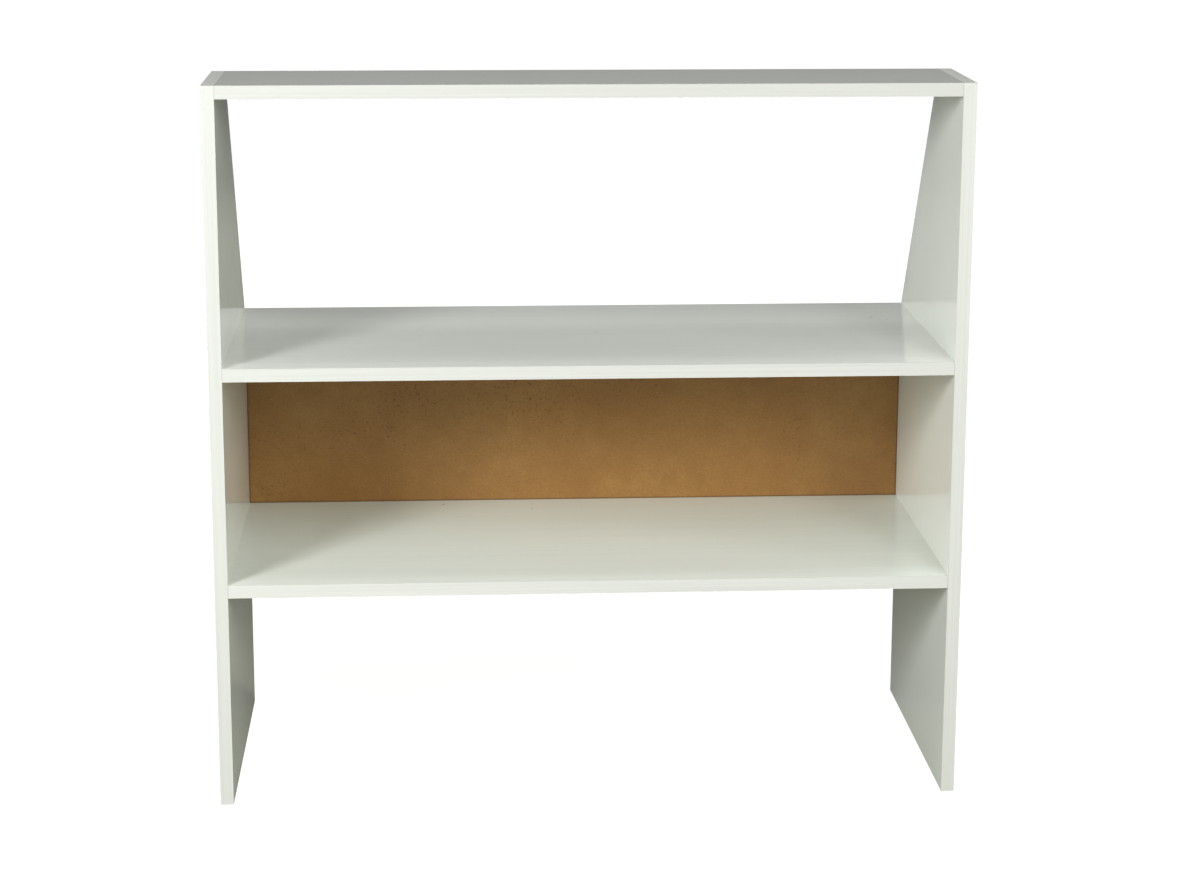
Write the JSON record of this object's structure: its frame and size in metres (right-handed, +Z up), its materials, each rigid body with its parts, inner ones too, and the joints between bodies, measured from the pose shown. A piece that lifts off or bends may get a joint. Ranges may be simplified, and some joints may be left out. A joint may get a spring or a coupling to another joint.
{
  "type": "desk hutch",
  "caption": "White board desk hutch with sloped side panels, a narrow top board, full-depth shelves and a raw hardboard back behind the middle bay.",
  "frame": {"origin": "middle of the footprint, on the surface that the hutch stands on", "axes": "+X to the right seen from the front, +Y from the open front to the rear, +Z up"},
  "size_m": [0.914, 0.381, 0.889],
  "materials": {
    "melamine_board": "particleboard core with a smooth white melamine face, satin, fine pored texture; raw core on cut edges",
    "edge_band": "white edge band, satin, faint lengthwise lines",
    "hardboard": "raw brown hardboard, mottled, with fine dark flecks",
    "zinc": "bare zinc die casting, dull",
    "bolt_steel": "zinc-plated steel",
    "beech": "plain beech",
    "pin_steel": "bright drawn steel"
  },
  "bodies": {
    "root": {"back_panel": "hardboard", "left_front_band": "edge_band", "left_rear_band": "edge_band", "left_side_panel": "melamine_board", "left_side_panel_pins": "pin_steel", "left_slope_band": "edge_band", "left_top_band": "edge_band", "lower_left_cam_bolts": "bolt_steel", "lower_left_cam_locks": "zinc", "lower_left_dowel": "beech", "lower_right_cam_bolts": "bolt_steel", "lower_right_cam_locks": "zinc", "lower_right_dowel": "beech", "lower_shelf": "melamine_board", "lower_shelf_front_band": "edge_band", "lower_shelf_panel_pins": "pin_steel", "middle_left_cam_bolts": "bolt_steel", "middle_left_cam_locks": "zinc", "middle_left_dowel": "beech", "middle_right_cam_bolts": "bolt_steel", "middle_right_cam_locks": "zinc", "middle_right_dowel": "beech", "middle_shelf": "melamine_board", "middle_shelf_front_band": "edge_band", "middle_shelf_panel_pins": "pin_steel", "right_front_band": "edge_band", "right_rear_band": "edge_band", "right_side_panel": "melamine_board", "right_side_panel_pins": "pin_steel", "right_slope_band": "edge_band", "right_top_band": "edge_band", "top_left_cam_bolts": "bolt_steel", "top_left_cam_locks": "zinc", "top_left_dowel": "beech", "top_panel": "melamine_board", "top_panel_front_band": "edge_band", "top_panel_rear_band": "edge_band", "top_right_cam_bolts": "bolt_steel", "top_right_cam_locks": "zinc", "top_right_dowel": "beech"}
  },
  "joints": []
}
